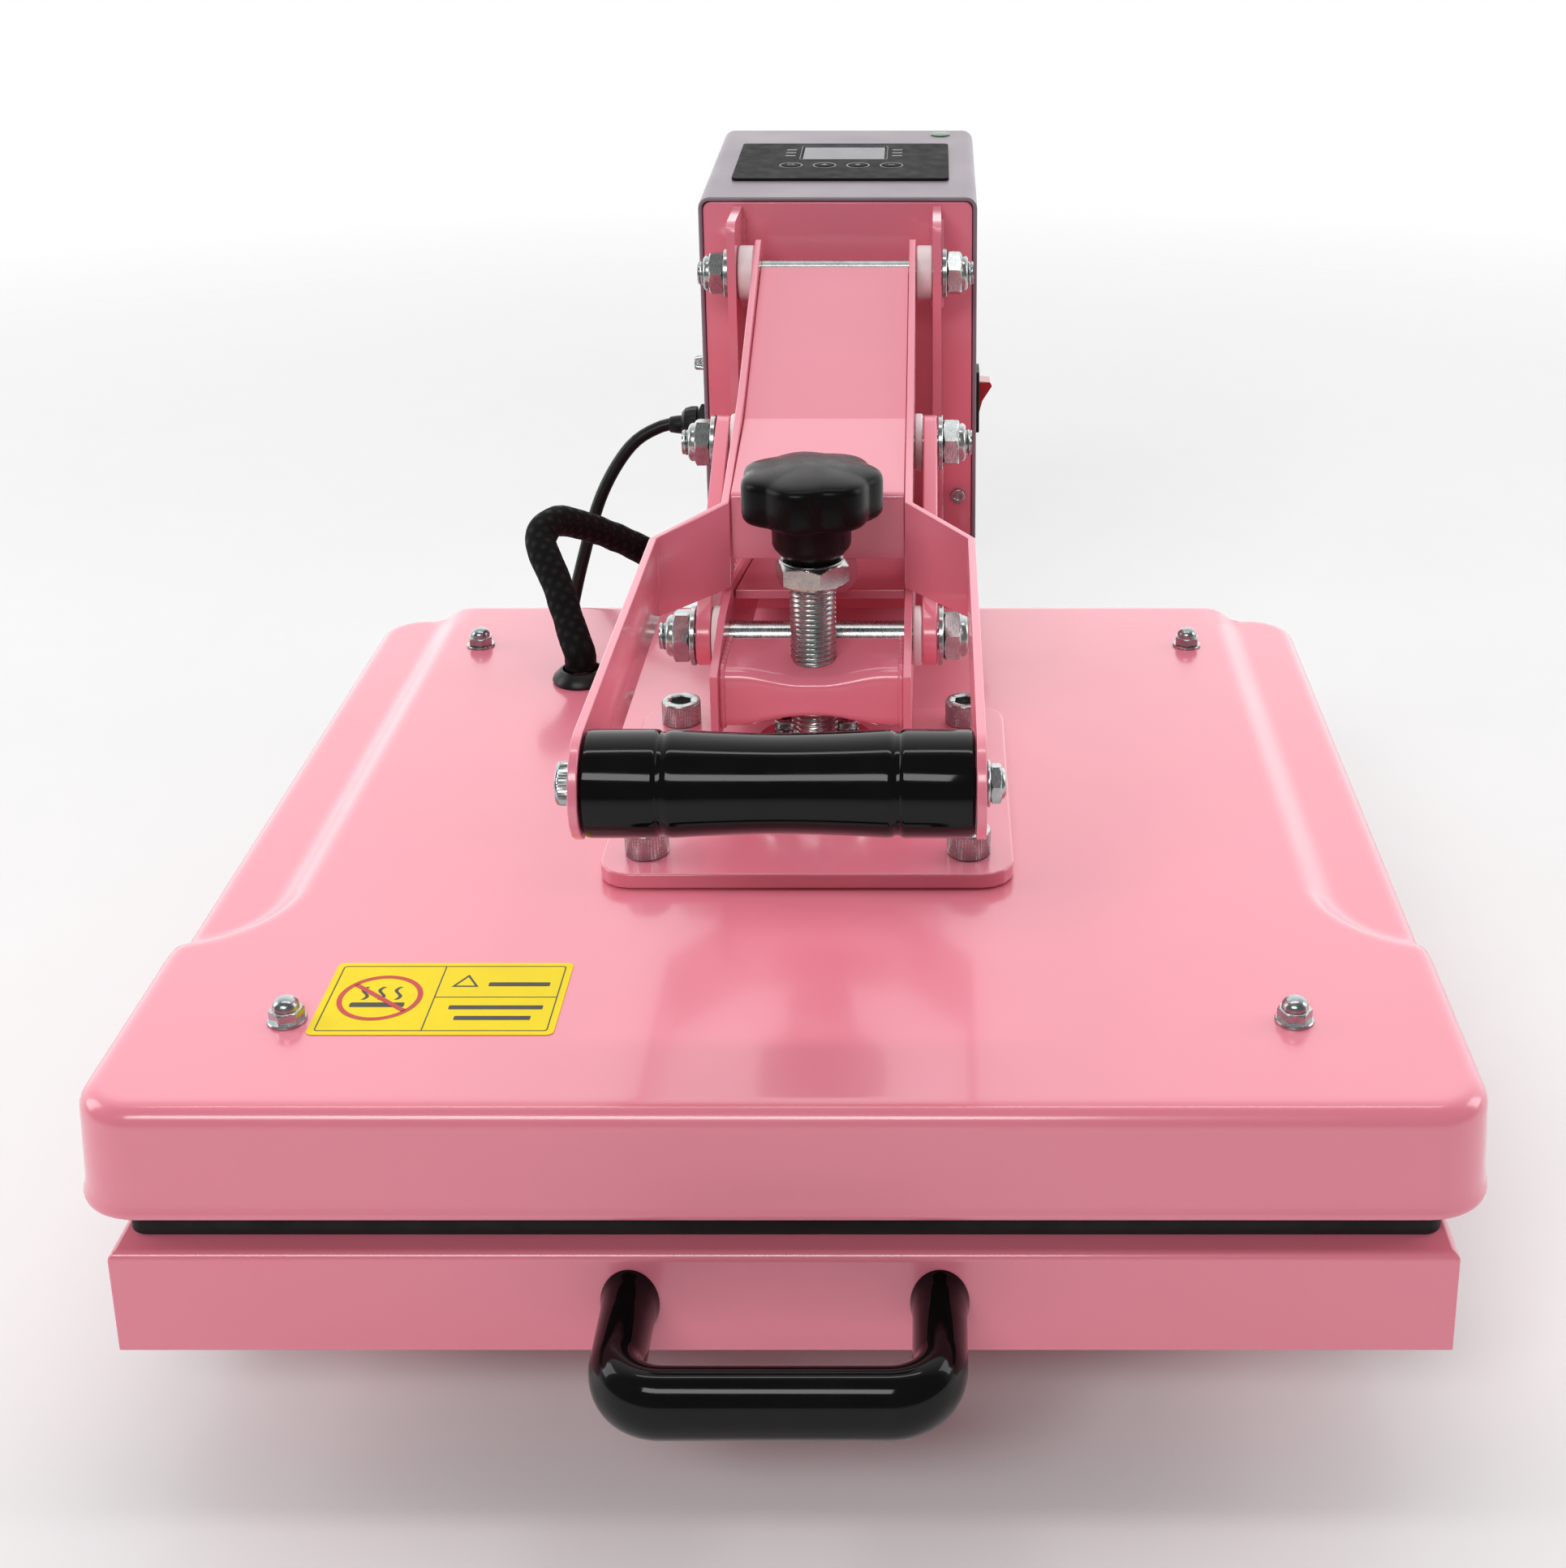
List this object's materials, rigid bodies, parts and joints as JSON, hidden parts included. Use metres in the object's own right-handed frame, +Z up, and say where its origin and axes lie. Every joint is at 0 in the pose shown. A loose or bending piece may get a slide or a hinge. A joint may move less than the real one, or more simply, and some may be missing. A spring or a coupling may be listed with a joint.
{
  "type": "heat press",
  "caption": "Clamshell heat press with a toggle lever and pressure knob over a square heated platen, a pull-out padded lower platen, and a control box on a rear column.",
  "frame": {"origin": "middle of the bounding box, without the power cord, at the floor", "axes": "+Z up, -Y towards the operator, +X to the right seen from the front"},
  "size_m": [0.4805, 0.681, 0.3371],
  "materials": {
    "pink_enamel": "gloss powder coat",
    "lilac_enamel": "satin powder coat",
    "zinc_steel": "bright zinc plate",
    "chrome": "polished",
    "aluminium": "machined cast plate",
    "black_gloss_plastic": "polished moulding",
    "black_matt_plastic": "fine texture",
    "black_rubber": "matt",
    "black_silicone": "matt sponge sheet",
    "white_nylon": "turned nylon",
    "panel_film": "printed film",
    "display_grey": "unlit display",
    "red_rocker": "translucent red",
    "insulation": "ceramic wool felt",
    "circuit_board": "solder mask",
    "black_braid": "braided sleeve"
  },
  "bodies": {
    "root": {"base_plate": "pink_enamel", "base_rail_left": "pink_enamel", "base_rail_right": "pink_enamel", "foot_front_left": "black_rubber", "foot_front_right": "black_rubber", "foot_rear_left": "black_rubber", "foot_rear_right": "black_rubber", "slide_rail_left": "zinc_steel", "slide_rail_right": "zinc_steel", "mast_plate": "pink_enamel", "mast_cheek_left": "pink_enamel", "mast_cheek_right": "pink_enamel", "control_box_cover": "lilac_enamel", "controller_board": "circuit_board", "panel_overlay": "panel_film", "display_window": "display_grey", "switch_bezel": "black_matt_plastic", "cord_gland": "black_matt_plastic", "power_cord": "black_rubber", "power_cord_coil": "black_rubber", "power_plug": "black_matt_plastic", "lever_pivot_bolt": "zinc_steel", "arm_pivot_bolt": "zinc_steel", "nylon_spacer_left": "white_nylon", "nylon_spacer_right": "white_nylon", "wiring_harness": "black_braid"},
    "lever": {"lever_plate_left": "pink_enamel", "lever_plate_right": "pink_enamel", "lever_cover": "pink_enamel", "lever_grip": "black_gloss_plastic", "grip_bolt": "zinc_steel", "link_rear_bolt": "zinc_steel"},
    "link": {"link_left": "pink_enamel", "link_right": "pink_enamel", "link_front_bolt_left": "zinc_steel", "link_front_bolt_right": "zinc_steel"},
    "arm": {"arm_plate_left": "pink_enamel", "arm_plate_right": "pink_enamel", "arm_top_plate": "pink_enamel", "cross_tube": "pink_enamel", "arm_front_shaft": "zinc_steel"},
    "platen": {"lid_cover": "pink_enamel", "insulation_blanket": "insulation", "heating_plate": "aluminium", "mount_plate": "pink_enamel", "bearing_block": "zinc_steel", "retainer_disc": "chrome", "harness_grommet": "black_rubber"},
    "screw": {"pressure_screw": "zinc_steel", "star_knob": "black_gloss_plastic"},
    "drawer": {"drawer_tray": "pink_enamel", "silicone_pad": "black_silicone", "pull_handle": "black_gloss_plastic", "slide_runner_left": "zinc_steel", "slide_runner_right": "zinc_steel"},
    "rocker": {"power_rocker": "red_rocker"},
    "key_1": {"panel_key_1": "panel_film"},
    "key_2": {"panel_key_2": "panel_film"},
    "key_3": {"panel_key_3": "panel_film"},
    "key_4": {"panel_key_4": "panel_film"}
  },
  "joints": [
    {"name": "lever_swing", "type": "hinge", "parent": "root", "child": "lever", "pos_m": [0, 0.163, 0.297], "axis": [-1, 0, 0], "range_deg": [0, 95]},
    {"name": "arm_swing", "type": "hinge", "parent": "root", "child": "arm", "pos_m": [0, 0.1645, 0.155], "axis": [-1, 0, 0], "range_deg": [0, 43.32], "deforming": ["wiring_harness"]},
    {"name": "link_swing", "type": "hinge", "parent": "lever", "child": "link", "pos_m": [0, 0.05895, 0.24459], "axis": [-1, 0, 0], "range_deg": [-114.01, 0]},
    {"name": "platen_slide", "type": "slide", "parent": "arm", "child": "platen", "axis": [0, 0, 1], "range_m": [0, 0.006]},
    {"name": "knob_turn", "type": "hinge", "parent": "platen", "child": "screw", "pos_m": [0, -0.0715, 0.274], "axis": [0, 0, 1], "range_deg": [0, 540.1]},
    {"name": "drawer_slide", "type": "slide", "parent": "root", "child": "drawer", "axis": [0, -1, 0], "range_m": [0, 0.27]},
    {"name": "rocker_tilt", "type": "hinge", "parent": "root", "child": "rocker", "pos_m": [0.064, 0.2355, 0.215], "axis": [0, -1, 0], "range_deg": [0, 18]},
    {"name": "key_1_press", "type": "slide", "parent": "root", "child": "key_1", "axis": [0, 0.0599, -0.9982], "range_m": [0, 0.0004], "stiffness_N_per_m": 1500, "springref_m": -0.0005},
    {"name": "key_2_press", "type": "slide", "parent": "root", "child": "key_2", "axis": [0, 0.0599, -0.9982], "range_m": [0, 0.0004], "stiffness_N_per_m": 1500, "springref_m": -0.0005},
    {"name": "key_3_press", "type": "slide", "parent": "root", "child": "key_3", "axis": [0, 0.0599, -0.9982], "range_m": [0, 0.0004], "stiffness_N_per_m": 1500, "springref_m": -0.0005},
    {"name": "key_4_press", "type": "slide", "parent": "root", "child": "key_4", "axis": [0, 0.0599, -0.9982], "range_m": [0, 0.0004], "stiffness_N_per_m": 1500, "springref_m": -0.0005}
  ],
  "couplings": [
    {"joint": "arm_swing", "follows": "lever_swing", "ratio": 0.45588},
    {"joint": "link_swing", "follows": "lever_swing", "ratio": -1.2},
    {"joint": "knob_turn", "follows": "platen_slide", "rad_per_m": 1570.8}
  ]
}
